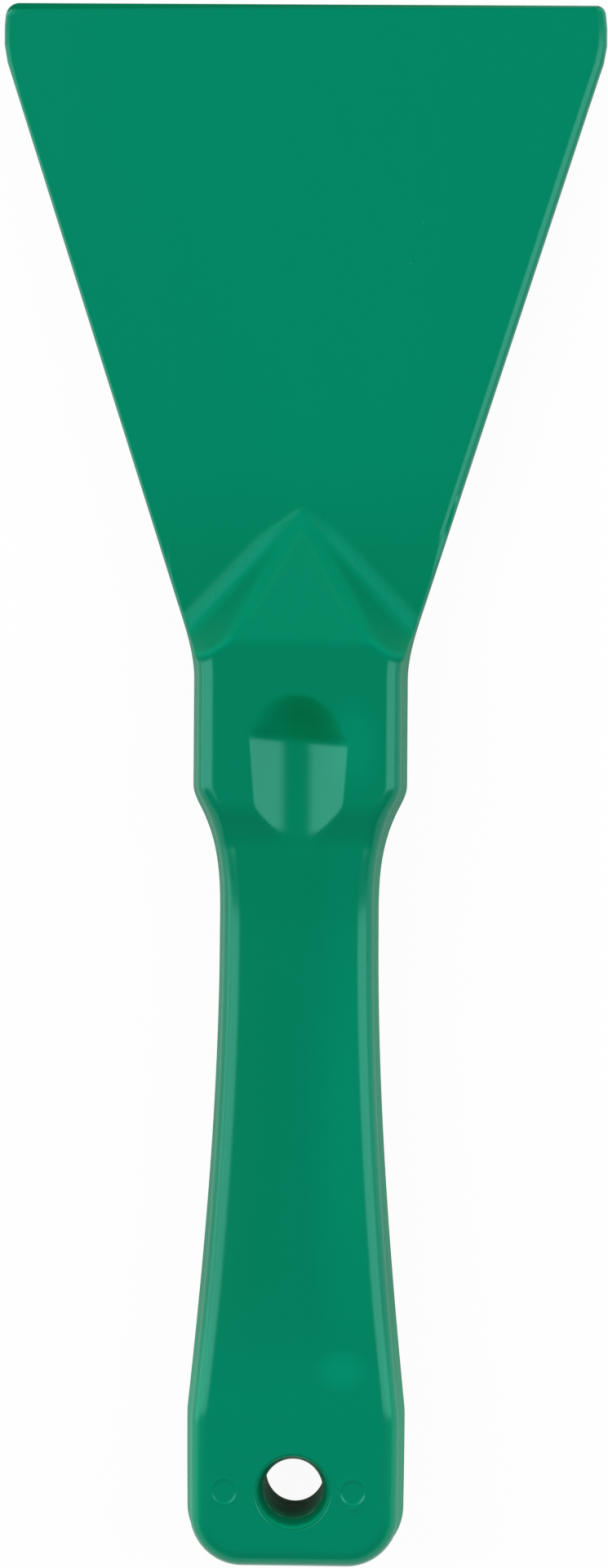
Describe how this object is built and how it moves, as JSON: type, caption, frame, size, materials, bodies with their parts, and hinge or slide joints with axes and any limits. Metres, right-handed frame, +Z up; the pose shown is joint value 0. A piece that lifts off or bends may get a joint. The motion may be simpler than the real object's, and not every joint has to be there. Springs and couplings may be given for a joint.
{
  "type": "hand scraper",
  "caption": "One-piece moulded plastic hand scraper: flat flared blade, wedge neck, bolster with thumb hollows, waisted handle and hanging hole.",
  "frame": {"origin": "bottom centre of the bounding box, with the scraper lying flat on its back face", "axes": "+Z up, out of the front face; +Y along the handle toward the scraping edge; +X across the blade"},
  "size_m": [0.102, 0.2636, 0.021],
  "materials": {
    "green_plastic": "semi-gloss moulded"
  },
  "bodies": {
    "root": {"scraper_body": "green_plastic"}
  },
  "joints": []
}
